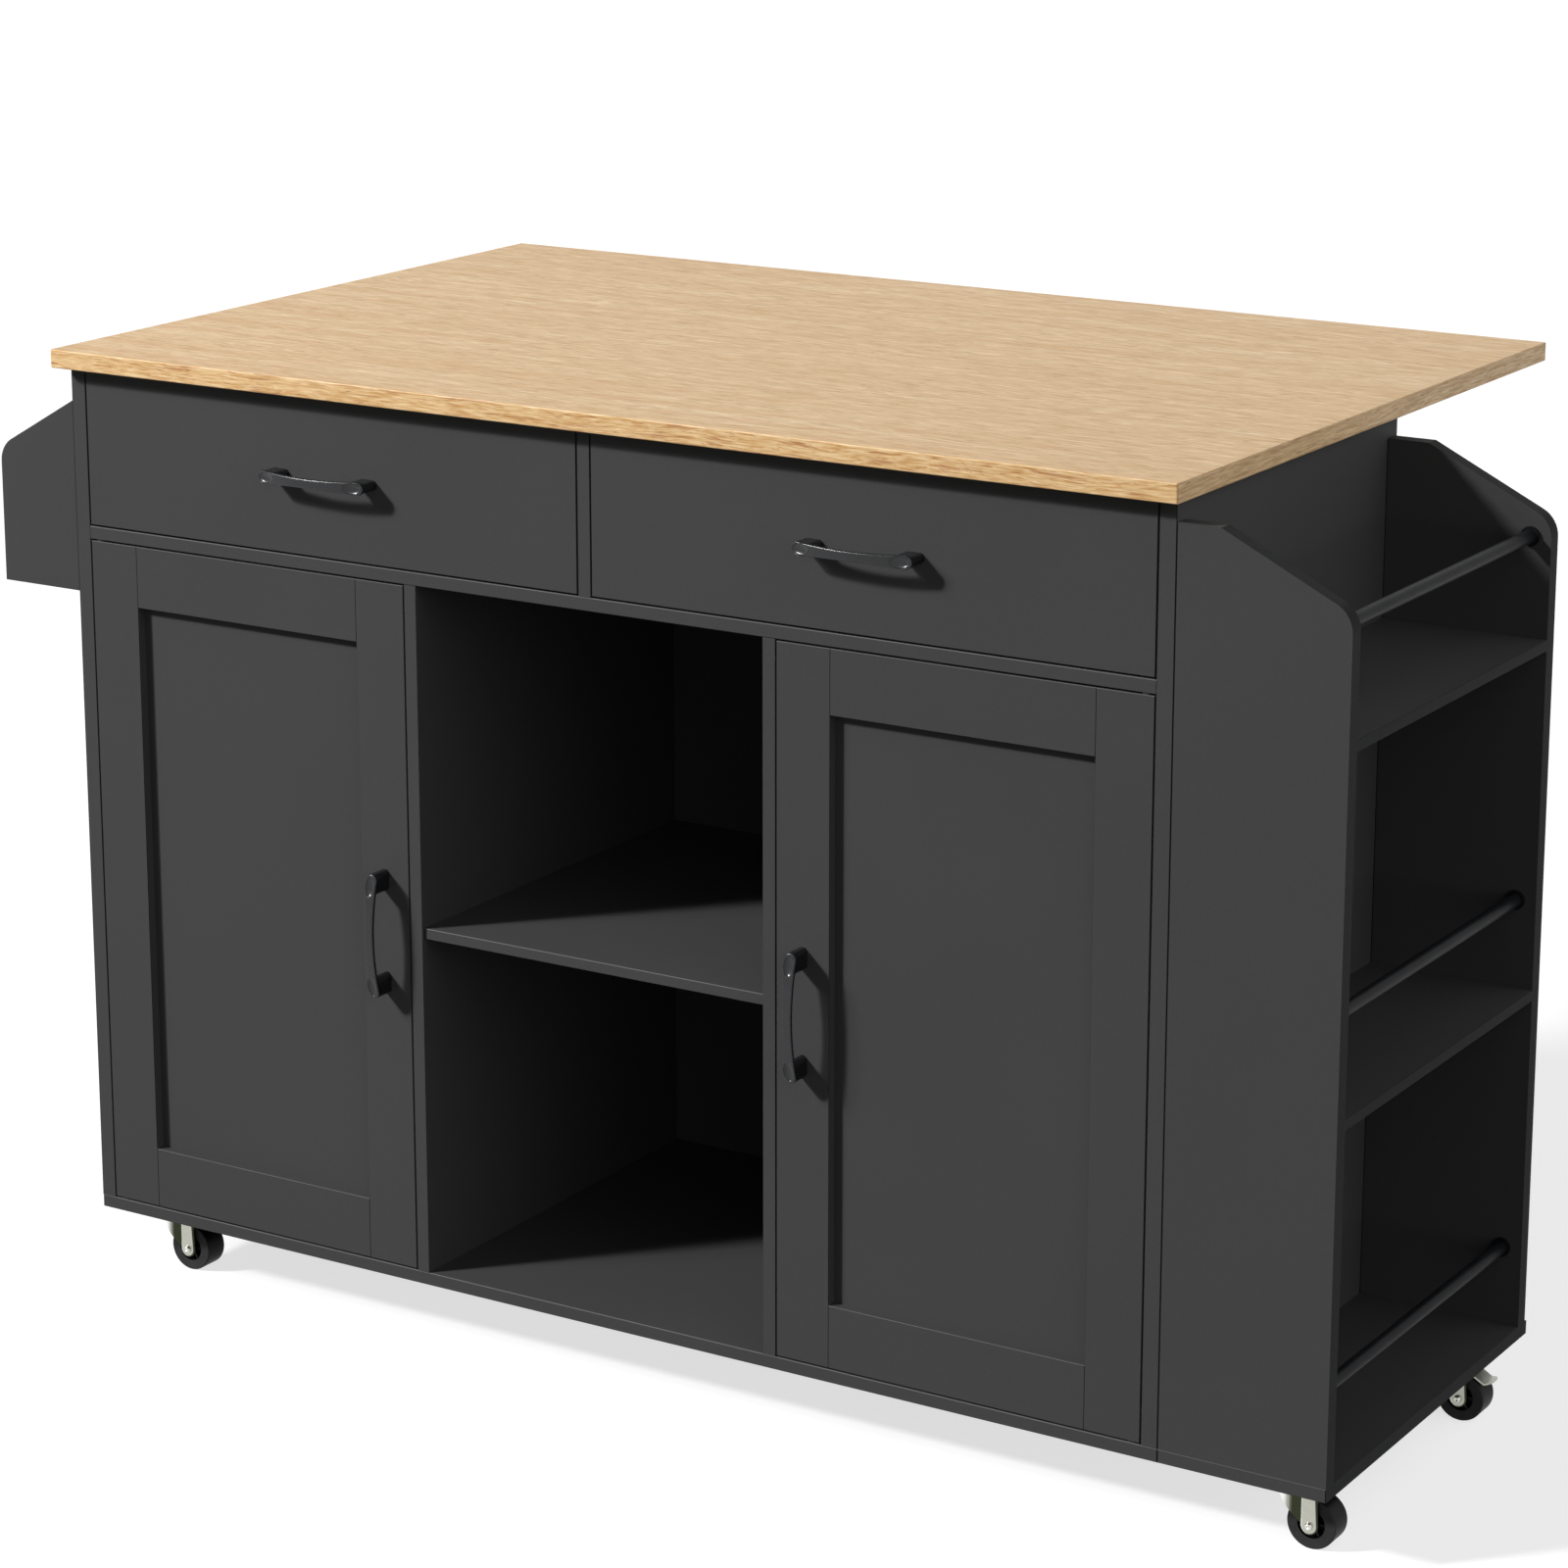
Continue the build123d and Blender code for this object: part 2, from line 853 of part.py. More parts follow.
# Casters, each drawn about its swivel axis with its wheel trailing towards +X
def caster_plate():
    """The top plate with its pressed ball race."""
    outline = RectangleRounded(plate_size, plate_size, plate_corner)
    plate = extrude(Pos(0, 0, plate_bottom) * outline, plate_thickness)
    half = plate_hole_pitch / 2
    for dx in (-half, half):
        for dy in (-half, half):
            plate -= rod(screw_radius + screw_fit, (dx, dy, plate_bottom), (0, 0, 1), plate_thickness)
    race_bottom = fork_top + race_height + race_gap
    race = Polyline(
        (kingpin_radius + snug_fit, plate_bottom),
        (race_radius + race_taper, plate_bottom),
        (race_radius, race_bottom),
        (kingpin_radius + snug_fit, race_bottom),
        close=True,
    )
    race = revolve(Plane.XZ * make_face(race), Axis.Z)
    return plate + race - rod(kingpin_radius + snug_fit, (0, 0, 0), (0, 0, 1), caster_height)


def kingpin():
    """The pin that the fork swivels on, headed under the fork's web."""
    head_top = fork_top - fork_gauge - race_gap
    head = rod(kingpin_head_radius, (0, 0, head_top - kingpin_head), (0, 0, 1), kingpin_head)
    head = fillet(head.edges().group_by(Axis.Z)[0], kingpin_head / 2)
    return head + rod(kingpin_radius, (0, 0, head_top), (0, 0, 1), caster_height - head_top)


def cheek_outline():
    """A fork cheek in X and Z: round at the axle, upright behind and leaning in front."""
    front = caster_trail - fork_end_radius
    back = caster_trail + fork_end_radius
    return make_face(
        [
            Line((front, axle_height), (front, fork_top)),
            Line((front, fork_top), (back - fork_lean, fork_top)),
            Line((back - fork_lean, fork_top), (back, axle_height)),
            ThreePointArc(
                (back, axle_height),
                (caster_trail, axle_height - fork_end_radius),
                (front, axle_height),
            ),
        ]
    )


def fork(braked):
    """The stamped fork: a hood about the kingpin, two cheeks beside the wheel and the lower race."""
    front = caster_trail - fork_end_radius
    back = caster_trail + fork_end_radius - fork_lean
    end = front + hood_lap
    web_bottom = fork_top - fork_gauge
    shell = rod(hood_radius, (0, 0, 0), (0, 0, 1), fork_top)
    shell -= rod(hood_radius - hood_gauge, (0, 0, 0), (0, 0, 1), web_bottom)
    kept = Polyline(
        (-hood_radius, web_bottom),
        (end, hood_low),
        (end, fork_top),
        (-hood_radius, fork_top),
        close=True,
    )
    shell &= extrude(upright(0) * make_face(kept), 2 * hood_radius, both=True)
    for side in (-1, 1):
        outer = side * cheek_outer
        cheek = extrude(upright(max(outer, outer - side * fork_gauge)) * cheek_outline(), fork_gauge)
        cheek = fillet(edges_at(cheek, X=front, Y=outer), cheek_round)
        shell += cheek
    half = fork_inner_width / 2
    web = block(front, back, -half, half, web_bottom, fork_top)
    race = Polyline(
        (0, fork_top),
        (race_radius - race_taper, fork_top),
        (race_radius, fork_top + race_height),
        (0, fork_top + race_height),
        close=True,
    )
    shell += web + revolve(Plane.XZ * make_face(race), Axis.Z)
    shell -= rod(kingpin_radius + running_fit, (0, 0, 0), (0, 0, 1), caster_height)
    shell -= axle_rod(axle_radius + snug_fit)
    if braked:
        shell -= pedal_rod(pedal_pin_radius + snug_fit, cheek_outer)
    return shell


def axle_rod(radius):
    start = (caster_trail, -cheek_outer, axle_height)
    return rod(radius, start, (0, 1, 0), 2 * cheek_outer)


def pedal_rod(radius, reach):
    start = (pedal_pivot_x, -reach, pedal_pivot_z)
    return rod(radius, start, (0, 1, 0), 2 * reach)


def axle(braked):
    """The wheel's hollow rivet with its collars, and the pedal's pin where there is a brake."""
    end = cheek_outer + rivet_reach
    profile = make_face(
        Polyline(
            (0, 0),
            (axle_radius, 0),
            (axle_radius, cheek_outer),
            (rivet_collar_radius, cheek_outer),
            (rivet_collar_radius, cheek_outer + rivet_collar),
            (rivet_radius, cheek_outer + rivet_collar),
            (rivet_radius, end - rivet_round),
            (rivet_radius - rivet_round, end),
            (rivet_radius / 2, end),
            (rivet_radius / 2, end - rivet_reach / 2),
            (0, end - rivet_reach / 2),
            close=True,
        )
    )
    half = revolve(profile, Axis.Y)
    rivet = Pos(caster_trail, 0, axle_height) * (half + mirror(half, Plane.XZ))
    if not braked:
        return rivet
    return Compound(children=[rivet, pedal_rod(pedal_pin_radius, cheek_outer)])


def wheel():
    """A wheel with a rounded tread, dished sides and ribs, drawn where it stands."""
    half = wheel_width / 2
    face = wheel_radius - tread_round
    bore = axle_radius + running_fit
    hub_half = fork_inner_width / 2 - slide_fit
    rim = make_face(
        [
            Line((bore, 0), (bore, hub_half)),
            Line((bore, hub_half), (hub_radius, hub_half)),
            Line((hub_radius, hub_half), (hub_radius, web_thickness / 2)),
            Line((hub_radius, web_thickness / 2), (rim_radius, web_thickness / 2)),
            Line((rim_radius, web_thickness / 2), (rim_radius, half)),
            Line((rim_radius, half), (face, half)),
            RadiusArc((face, half), (wheel_radius, half - tread_round), tread_round),
            Line((wheel_radius, half - tread_round), (wheel_radius, 0)),
            Line((wheel_radius, 0), (bore, 0)),
        ]
    )
    side = revolve(rim, Axis.Y)
    rib_half = rib_thickness / 2
    rib = block(hub_radius - rib_half, rim_radius + rib_half, 0, half - rib_drop, -rib_half, rib_half)
    for index in range(rib_count):
        side += Rot(0, index * 360 / rib_count, 0) * rib
    return Pos(caster_trail, 0, axle_height) * (side + mirror(side, Plane.XZ))


def brake_pedal():
    """A toe pedal hinged over the wheel: a barrel, a leaf down the tread and an upturned tip."""
    half = pedal_width / 2
    bend = Polyline(
        (pedal_pivot_x, pedal_pivot_z),
        (pedal_knee_x, pedal_knee_z),
        (pedal_tip_x, pedal_tip_z),
    )
    leaf = extrude(upright(half) * trace(bend, pedal_gauge), pedal_width)
    plan = fillet(Rectangle(2 * pedal_tip_x, pedal_width).vertices(), pedal_corner)
    leaf &= extrude(plan, caster_height)
    barrel = rod(pedal_barrel_radius, (pedal_pivot_x, -half, pedal_pivot_z), (0, 1, 0), pedal_width)
    return leaf + barrel - pedal_rod(pedal_pin_radius + running_fit, half)


def at_casters(*makers):
    """The given pieces at each caster, as a group of separate solids."""
    return Compound(
        children=[Pos(x, y, 0) * make() for x, y in caster_places().values() for make in makers]
    )


# Assembly
parts = {
    "worktop": worktop(),
    "base_board": base_board(),
    "back_panel": back_panel(),
    "drawer_deck": drawer_deck(),
    "drawer_divider": drawer_divider(),
    "rear_stretcher": rear_stretcher(),
    "worktop_cleats": worktop_cleats(),
    "centre_shelf": centre_shelf(),
    "cupboard_shelves": cupboard_shelves(),
    "shelf_pins": shelf_pins(),
    "screws": screws(),
    "rack_front_panel": rack_panel(0, 1),
    "rack_back_panel": rack_panel(panel_depth - panel_thickness, -1),
    "rack_shelves": rack_shelves(),
    "rack_rails": rack_rails(),
    "towel_front_bracket": towel_bracket(0, 1),
    "towel_back_bracket": towel_bracket(panel_depth - panel_thickness, -1),
    "towel_bar": flanged_rail(*towel_bar_place()),
    "slide_channels": slide_channels(),
    "door_bushes": door_bushes(),
    "door_catches": door_catches(),
    "caster_plates": at_casters(caster_plate, kingpin),
}
parts["left_side_panel"], parts["right_side_panel"] = side_panels()
parts["left_divider"], parts["right_divider"] = dividers()

for side in ("left", "right"):
    parts[f"{side}_door_frame"] = door_frame(side)
    parts[f"{side}_door_panel"] = door_panel(side)
    parts[f"{side}_door_fittings"] = door_fittings(side)
    parts[f"{side}_door_handle"] = handle_with_screws(door_handle_place(side), door_thickness)
    parts[f"{side}_drawer_front"] = drawer_front(side)
    parts[f"{side}_drawer_sides"] = drawer_sides(side)
    parts[f"{side}_drawer_back"] = drawer_back(side)
    parts[f"{side}_drawer_bottom"] = drawer_bottom(side)
    parts[f"{side}_drawer_runners"] = drawer_runners(side)
    parts[f"{side}_drawer_handle"] = handle_with_screws(drawer_handle_place(side), front_thickness)

for name, (x, y) in caster_places().items():
    braked = name.startswith("rear")
    place = Pos(x, y, 0)
    parts[f"{name}_fork"] = place * fork(braked)
    parts[f"{name}_axle"] = place * axle(braked)
    parts[f"{name}_wheel"] = place * wheel()
    if braked:
        parts[f"{name}_brake_pedal"] = place * brake_pedal()

os.makedirs("parts", exist_ok=True)
for name, piece in parts.items():
    export_step(Pos(-origin_x, -origin_y, 0) * piece, f"parts/{name}.step")
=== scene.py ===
import math

import bmesh
import bpy
from mathutils import Euler, Matrix, Vector


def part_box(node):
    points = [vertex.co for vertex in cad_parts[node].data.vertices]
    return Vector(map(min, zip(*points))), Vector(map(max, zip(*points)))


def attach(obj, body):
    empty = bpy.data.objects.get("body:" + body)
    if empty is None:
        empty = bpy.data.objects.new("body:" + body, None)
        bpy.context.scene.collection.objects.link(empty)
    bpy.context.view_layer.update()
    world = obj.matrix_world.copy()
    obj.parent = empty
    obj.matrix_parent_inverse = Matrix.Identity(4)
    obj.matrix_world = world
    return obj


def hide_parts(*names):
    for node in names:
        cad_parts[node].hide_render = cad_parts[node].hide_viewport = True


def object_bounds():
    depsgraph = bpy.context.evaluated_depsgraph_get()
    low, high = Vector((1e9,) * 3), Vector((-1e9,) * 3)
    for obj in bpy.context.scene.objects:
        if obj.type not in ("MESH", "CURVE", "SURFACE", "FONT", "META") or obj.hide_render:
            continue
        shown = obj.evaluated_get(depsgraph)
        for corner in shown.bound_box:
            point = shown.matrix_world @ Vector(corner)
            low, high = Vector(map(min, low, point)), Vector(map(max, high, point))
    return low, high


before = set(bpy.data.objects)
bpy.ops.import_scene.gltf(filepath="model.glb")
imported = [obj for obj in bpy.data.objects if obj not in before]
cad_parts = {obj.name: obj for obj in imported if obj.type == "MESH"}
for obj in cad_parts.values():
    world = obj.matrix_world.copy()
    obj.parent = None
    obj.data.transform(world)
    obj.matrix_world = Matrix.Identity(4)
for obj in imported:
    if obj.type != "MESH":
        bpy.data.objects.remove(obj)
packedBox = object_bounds()
print("frame loaded:", len(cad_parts), "nodes")


def paint(colour):  # sRGB hex to the linear colour that a socket takes; a socket passes through
    if isinstance(colour, bpy.types.NodeSocket):
        return colour
    channels = [int(colour[i:i + 2], 16) / 255 for i in (1, 3, 5)]
    return [c / 12.92 if c <= 0.04045 else ((c + 0.055) / 1.055) ** 2.4 for c in channels] + [1]


def addNode(tree, kind, settings=None, inputs=None):
    node = tree.nodes.new("ShaderNode" + kind)
    for name, value in (settings or {}).items():
        setattr(node, name, value)
    for name, value in (inputs or {}).items():
        if isinstance(value, bpy.types.NodeSocket):
            tree.links.new(value, node.inputs[name])
        else:
            node.inputs[name].default_value = value
    return node


def newFinish(name):
    material = bpy.data.materials.new(name)
    material.use_nodes = True
    material.node_tree.nodes.clear()
    return material, material.node_tree


def layColours(tree, base, covers):
    # each cover is an amount and the colour that lies over the ones before it by that amount
    colour = paint(base)
    for amount, cover in covers:
        inputs = {0: amount, 6: colour, 7: paint(cover)}
        colour = addNode(tree, "Mix", {"data_type": "RGBA"}, inputs).outputs[2]
    return colour


def span(way, ends):  # the two limits of a Map Range node, for "From" or for "To"
    return {way + " Min": ends[0], way + " Max": ends[1]}


def closeFinish(material, tree, shader, height, relief):
    # relief is the bump's depth in millimetres and its strength
    inputs = {"Height": height, "Distance": relief[0] / 1000, "Strength": relief[1]}
    bump = addNode(tree, "Bump", inputs=inputs)
    surface = addNode(tree, "BsdfPrincipled", inputs={**shader, "Normal": bump.outputs[0]})
    addNode(tree, "OutputMaterial", inputs={"Surface": surface.outputs[0]})
    return material


# Ranges that hold nearly all of what noise gives
wide = span("From", (0.3, 0.7))
narrow = span("From", (0.35, 0.65))

# In the finishes below, sizes are in millimetres. A pair for roughness is where the noise is low and high.
# A pair for a turn is the part of the normal at which the effect starts and is full.

# Charcoal melamine foil on particle board, pressed matt: an even dark grey with a fine dry grain
charcoal = {
    "deep": "#404040", "pale": "#424242", "cloudSize": 240,
    "grainSize": 2.4, "flecks": (0.96, 1.04),  # the real grain is finer than this shows
    # the edge colours are painted light: a highlight where eased edges face up, shade where they face a
    # side, and a shade band on the rack's right-facing edges
    "paintedEdgeHighlight": "#626264", "shadedEdge": "#1a1a1b", "paintedShadeBand": "#151617", "bandStart": 10,
    "seam": "#060607", "seamReach": 1, "seamCore": 0.5, "leftSeam": 0.4, "rightSeam": 1.0,
    "sideTurn": (0.1, 0.35), "frontTurn": (0.98, 0.85), "bandTurn": (0.15, 0.4),
    "seamTurn": (-0.9, -0.99), "upward": 0.2,
    "roughness": (0.48, 0.56), "glare": 0.04, "relief": (0.1, 0.12),
}


def charcoalBoard():
    material, tree = newFinish("charcoalMelamine")
    coordinates = addNode(tree, "TexCoord")
    place = coordinates.outputs["Object"]
    drift = addNode(tree, "TexNoise", inputs={"Vector": place, "Scale": 1000 / charcoal["cloudSize"]})
    inputs = {"Vector": place, "Scale": 1000 / charcoal["grainSize"], "Detail": 3, "Roughness": 0.7}
    grain = addNode(tree, "TexNoise", inputs=inputs).outputs["Fac"]
    tone = addNode(tree, "MapRange", inputs={"Value": drift.outputs["Fac"], **wide}).outputs[0]
    colour = layColours(tree, charcoal["deep"], [(tone, charcoal["pale"])])
    inputs = {"Value": grain, **wide, **span("To", charcoal["flecks"])}
    flecks = addNode(tree, "MapRange", inputs=inputs).outputs[0]
    multiply = {"data_type": "RGBA", "blend_type": "MULTIPLY"}
    colour = addNode(tree, "Mix", multiply, {0: 1.0, 6: colour, 7: flecks}).outputs[2]

    # the eased front edges: a painted highlight where they face up, painted shade where they face a side
    facing = addNode(tree, "SeparateXYZ", inputs={0: coordinates.outputs["Normal"]}).outputs
    outward = addNode(tree, "Math", {"operation": "ABSOLUTE"}, {0: facing[1]}).outputs[0]
    offSide, offFront = (
        addNode(tree, "MapRange", inputs={"Value": outward, **span("From", charcoal[turn])}).outputs[0]
        for turn in ("sideTurn", "frontTurn"))
    eased = addNode(tree, "Math", {"operation": "MULTIPLY"}, {0: offSide, 1: offFront})
    upward = addNode(tree, "Math", {"operation": "GREATER_THAN"}, {0: facing[2], 1: charcoal["upward"]})
    edge = layColours(tree, charcoal["shadedEdge"], [(upward.outputs[0], charcoal["paintedEdgeHighlight"])])

    # painted shade: the rack's edges, right of the cabinet's side, carry a darker band where they face
    # right
    leftSide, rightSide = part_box("left_side_panel")[0].x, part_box("right_side_panel")[1].x
    across = addNode(tree, "SeparateXYZ", inputs={0: place}).outputs[0]
    start = rightSide + charcoal["bandStart"] / 1000
    outside = addNode(tree, "Math", {"operation": "GREATER_THAN"}, {0: across, 1: start}).outputs[0]
    inputs = {"Value": facing[0], **span("From", charcoal["bandTurn"])}
    rightward = addNode(tree, "MapRange", inputs=inputs)
    banded = addNode(tree, "Math", {"operation": "MULTIPLY"}, {0: outside, 1: rightward.outputs[0]})
    covers = [(eased.outputs[0], edge), (banded.outputs[0], charcoal["paintedShadeBand"])]

    # the joints between the cabinet's sides and the pieces outside them show as fine dark lines
    forward = addNode(tree, "MapRange", inputs={"Value": facing[1], **span("From", charcoal["seamTurn"])})
    limits = span("From", (charcoal["seamReach"] / 1000, charcoal["seamCore"] / 1000))
    for side, depth in ((leftSide, charcoal["leftSeam"]), (rightSide, charcoal["rightSeam"])):
        offset = addNode(tree, "Math", {"operation": "SUBTRACT"}, {0: across, 1: side}).outputs[0]
        away = addNode(tree, "Math", {"operation": "ABSOLUTE"}, {0: offset}).outputs[0]
        line = addNode(tree, "MapRange", inputs={"Value": away, **limits, "To Max": depth}).outputs[0]
        joint = addNode(tree, "Math", {"operation": "MULTIPLY"}, {0: line, 1: forward.outputs[0]})
        covers.append((joint.outputs[0], charcoal["seam"]))

    inputs = {"Value": grain, **wide, **span("To", charcoal["roughness"])}
    dryness = addNode(tree, "MapRange", inputs=inputs).outputs[0]
    shader = {"Base Color": layColours(tree, colour, covers), "Roughness": dryness,
              "Specular IOR Level": charcoal["glare"]}
    return closeFinish(material, tree, shader, grain, charcoal["relief"])


# Oak-print melamine worktop, satin: short wavy grain in long bands, redder flames on its edge band.
# A layer is noise, drawn out along the grain: its cells along and across, its detail and roughness, the
# values between which it comes in, and how strong it gets. Real pores are only about 0.3 mm wide.
oak = {
    "pale": "#e2c89c", "middle": "#cea976", "dark": "#9a6f3b", "pore": "#815b35",
    "edgePale": "#e0c294", "edgeDark": "#bd915a", "flame": "#8f4f24",
    "layers": {
        "fibre": ((34, 1.5), 3, 0.6, (0.36, 0.66), 0.68),
        "strand": ((110, 4), 2, 0.55, (0.40, 0.66), 0.4),
        "band": ((420, 19), 2, 0.55, (0.34, 0.66), 1.0),
        "board": ((600, 140), 1, 0.55, (0.35, 0.65), 0.35),
        "pore": ((18, 1.3), 1, 0.55, (0.62, 0.72), 0.6),
        "spark": ((20, 1.5), 3, 0.55, (0.34, 0.66), 1.0),
        "flame": ((48, 2.2), 3, 0.6, (0.55, 0.66), 0.62),
        "fleck": ((15, 1.1), 3, 0.6, (0.62, 0.68), 0.7),
    },
    "swaySize": (180, 45, 45), "sway": 6, "endTurn": 0.7, "edgeTurn": (0.5, 0.8),
    "roughness": (0.35, 0.48), "glare": 0.3, "relief": (0.15, 0.15),
}


def oakTop():
    material, tree = newFinish("oakMelamine")
    coordinates = addNode(tree, "TexCoord")
    facing = addNode(tree, "SeparateXYZ", inputs={0: coordinates.outputs["Normal"]})
    across = addNode(tree, "Math", {"operation": "ABSOLUTE"}, {0: facing.outputs[0]}).outputs[0]
    onEnd = addNode(tree, "Math", {"operation": "GREATER_THAN"}, {0: across, 1: oak["endTurn"]}).outputs[0]
    outward = addNode(tree, "Math", {"operation": "ABSOLUTE"}, {0: facing.outputs[1]}).outputs[0]
    onEdge = addNode(tree, "MapRange", inputs={"Value": outward, **span("From", oak["edgeTurn"])})

    # on the two ends the grain runs along the end
    axes = addNode(tree, "SeparateXYZ", inputs={0: coordinates.outputs["Object"]}).outputs
    turned = addNode(tree, "CombineXYZ", inputs={0: axes[1], 1: axes[0], 2: axes[2]}).outputs[0]
    inputs = {0: onEnd, 4: coordinates.outputs["Object"], 5: turned}
    along = addNode(tree, "Mix", {"data_type": "VECTOR"}, inputs).outputs[1]
    scale = [1000 / size for size in oak["swaySize"]]
    mapped = addNode(tree, "Mapping", inputs={"Vector": along, "Scale": scale}).outputs[0]
    drift = addNode(tree, "TexNoise", inputs={"Vector": mapped, "Scale": 1.0, "Detail": 3})
    limits = {**span("From", (0.2, 0.8)), **span("To", (-oak["sway"] / 1000, oak["sway"] / 1000))}
    sway = addNode(tree, "MapRange", inputs={"Value": drift.outputs["Fac"], **limits}).outputs[0]
    shift = addNode(tree, "CombineXYZ", inputs={1: sway, 2: sway}).outputs[0]
    wavy = addNode(tree, "VectorMath", {"operation": "ADD"}, {0: along, 1: shift}).outputs[0]

    tones = {}
    for name, (size, detail, roughness, ends, most) in oak["layers"].items():
        scale = [1000 / size[0], 1000 / size[1], 1000 / size[1]]
        mapped = addNode(tree, "Mapping", inputs={"Vector": wavy, "Scale": scale}).outputs[0]
        inputs = {"Vector": mapped, "Scale": 1.0, "Detail": detail, "Roughness": roughness}
        noise = addNode(tree, "TexNoise", inputs=inputs).outputs["Fac"]
        inputs = {"Value": noise, **span("From", ends), "To Max": most}
        tones[name] = addNode(tree, "MapRange", inputs=inputs).outputs[0]
    face = layColours(tree, oak["middle"], [
        (tones["band"], oak["pale"]), (tones["board"], oak["middle"]), (tones["strand"], oak["middle"]),
        (tones["fibre"], oak["dark"]), (tones["pore"], oak["pore"]),
    ])
    edge = layColours(tree, oak["edgePale"], [
        (tones["spark"], oak["edgeDark"]), (tones["flame"], oak["flame"]),
        (tones["fleck"], oak["flame"]),
    ])
    colour = layColours(tree, face, [(onEdge.outputs[0], edge)])
    limits = {"From Max": oak["layers"]["fibre"][-1], **span("To", oak["roughness"])}
    shine = addNode(tree, "MapRange", inputs={"Value": tones["fibre"], **limits}).outputs[0]
    shader = {"Base Color": colour, "Roughness": shine, "Specular IOR Level": oak["glare"]}
    return closeFinish(material, tree, shader, tones["fibre"], oak["relief"])


# Black powder coat over a faint orange peel: satin on the handles, nearly matt on the tubes
powder = {
    "black": "#141517", "worn": "#1b1c1f", "wearSize": 30, "peelSize": 1.6,
    "satin": {"roughness": (0.19, 0.32), "glare": 0.4},
    "matt": {"roughness": (0.31, 0.44), "glare": 0.06},
    "relief": (0.08, 0.2),
}


def blackCoat(gloss):
    material, tree = newFinish(gloss + "BlackCoat")
    place = addNode(tree, "TexCoord").outputs["Object"]
    inputs = {"Vector": place, "Scale": 1000 / powder["peelSize"]}
    peel = addNode(tree, "TexNoise", inputs=inputs).outputs["Fac"]
    drift = addNode(tree, "TexNoise", inputs={"Vector": place, "Scale": 1000 / powder["wearSize"]})
    tone = addNode(tree, "MapRange", inputs={"Value": drift.outputs["Fac"], **wide}).outputs[0]
    inputs = {"Value": peel, **wide, **span("To", powder[gloss]["roughness"])}
    sheen = addNode(tree, "MapRange", inputs=inputs).outputs[0]
    shader = {"Base Color": layColours(tree, powder["black"], [(tone, powder["worn"])]),
              "Roughness": sheen, "Specular IOR Level": powder[gloss]["glare"]}
    return closeFinish(material, tree, shader, peel, powder["relief"])


# Zinc-plated pressed steel: a warm grey with a fine dull speckle. The round hoods of the forks carry
# painted reflections that turn from bright to
# dark olive: each is given with the normal's X where it starts and where it is full.
zinc = {
    "grey": "#aaab9f", "pale": "#bcbcb2", "speckSize": 0.6,
    "paintedReflections": {"#f2f2ee": (0, -0.35), "#35392a": (-0.2, 0.17)},
    "cheeks": (0.99999, 0.9999),  # flat metal keeps its grey
    "roughness": (0.38, 0.24), "relief": (0.06, 0.25),
}


def pressedSteel(hooded):
    material, tree = newFinish("zincPlatedHoodPaintedReflections" if hooded else "zincPlatedSteel")
    coordinates = addNode(tree, "TexCoord")
    inputs = {"Vector": coordinates.outputs["Object"], "Scale": 1000 / zinc["speckSize"],
              "Detail": 3, "Roughness": 0.7}
    speck = addNode(tree, "TexNoise", inputs=inputs).outputs["Fac"]
    tone = addNode(tree, "MapRange", inputs={"Value": speck, **narrow}).outputs[0]
    covers = [(tone, zinc["pale"])]
    if hooded:
        facing = addNode(tree, "SeparateXYZ", inputs={0: coordinates.outputs["Normal"]}).outputs
        outward = addNode(tree, "Math", {"operation": "ABSOLUTE"}, {0: facing[1]}).outputs[0]
        curved = addNode(tree, "MapRange", inputs={"Value": outward, **span("From", zinc["cheeks"])})
        # painted reflections on the hoods' curved metal: bright where it faces left, dark olive towards
        # the cheek
        for reflectionColour, ends in zinc["paintedReflections"].items():
            turn = addNode(tree, "MapRange", inputs={"Value": facing[0], **span("From", ends)}).outputs[0]
            amount = addNode(tree, "Math", {"operation": "MULTIPLY"}, {0: curved.outputs[0], 1: turn})
            covers.append((amount.outputs[0], reflectionColour))
    inputs = {"Value": speck, **narrow, **span("To", zinc["roughness"])}
    dull = addNode(tree, "MapRange", inputs=inputs).outputs[0]
    shader = {"Base Color": layColours(tree, zinc["grey"], covers), "Metallic": 1.0, "Roughness": dull}
    return closeFinish(material, tree, shader, speck, zinc["relief"])


# Bright nickel on rivets, screws, pins and slides: nearly mirror smooth with light scuffs
nickel = {
    "bright": "#d9d8d2", "scuffed": "#c8c6bf", "scuffSize": 3.5, "scuffs": (0.4, 0.6),
    "roughness": (0.22, 0.29), "relief": (0.04, 0.04),
}


def brightSteel():
    material, tree = newFinish("nickelPlatedSteel")
    place = addNode(tree, "TexCoord").outputs["Object"]
    inputs = {"Vector": place, "Scale": 1000 / nickel["scuffSize"], "Detail": 4, "Roughness": 0.7}
    scuff = addNode(tree, "TexNoise", inputs=inputs).outputs["Fac"]
    tone = addNode(tree, "MapRange", inputs={"Value": scuff, **span("From", nickel["scuffs"])})
    inputs = {"Value": scuff, **narrow, **span("To", nickel["roughness"])}
    shine = addNode(tree, "MapRange", inputs=inputs).outputs[0]
    colour = layColours(tree, nickel["bright"], [(tone.outputs[0], nickel["scuffed"])])
    shader = {"Base Color": colour, "Metallic": 1.0, "Roughness": shine}
    return closeFinish(material, tree, shader, scuff, nickel["relief"])


# Moulded polypropylene wheels: dark grey semi-matt sides about a blacker tread
wheelSkin = {
    "side": "#313132", "rubbed": "#373738", "tread": "#0a0a0c",
    "rubSize": 9, "mottleSize": 2.2, "treadTurn": (0.5, 0.2),
    "roughness": (0.34, 0.5), "glare": 0.08, "relief": (0.1, 0.15),
}


